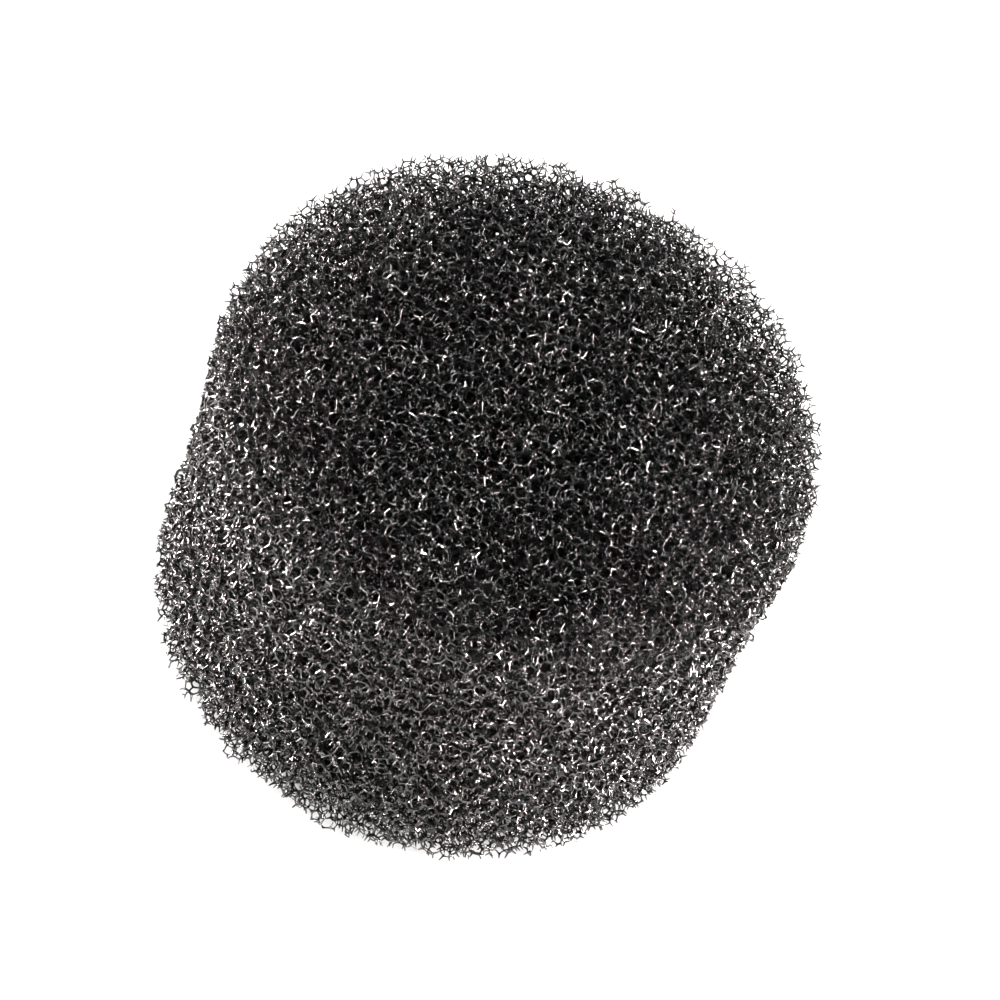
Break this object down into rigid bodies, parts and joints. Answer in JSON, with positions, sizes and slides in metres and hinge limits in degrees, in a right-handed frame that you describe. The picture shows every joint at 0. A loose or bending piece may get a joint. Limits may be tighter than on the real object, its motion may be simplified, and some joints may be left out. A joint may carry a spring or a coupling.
{
  "type": "aquarium filter sponge",
  "caption": "Cylinder of black open-cell foam with one closed end and a blind bore in the other, pushed over an intake pipe to filter water.",
  "frame": {"origin": "centre of the bored end face, which the part stands on", "axes": "+Z along the cylinder's axis, from the bored end to the closed end"},
  "size_m": [0.05, 0.05, 0.0335],
  "materials": {
    "foam": "charcoal black open-cell polyurethane foam, thin glossy struts, matte as a whole"
  },
  "bodies": {
    "root": {"foam_body": "foam"}
  },
  "joints": []
}
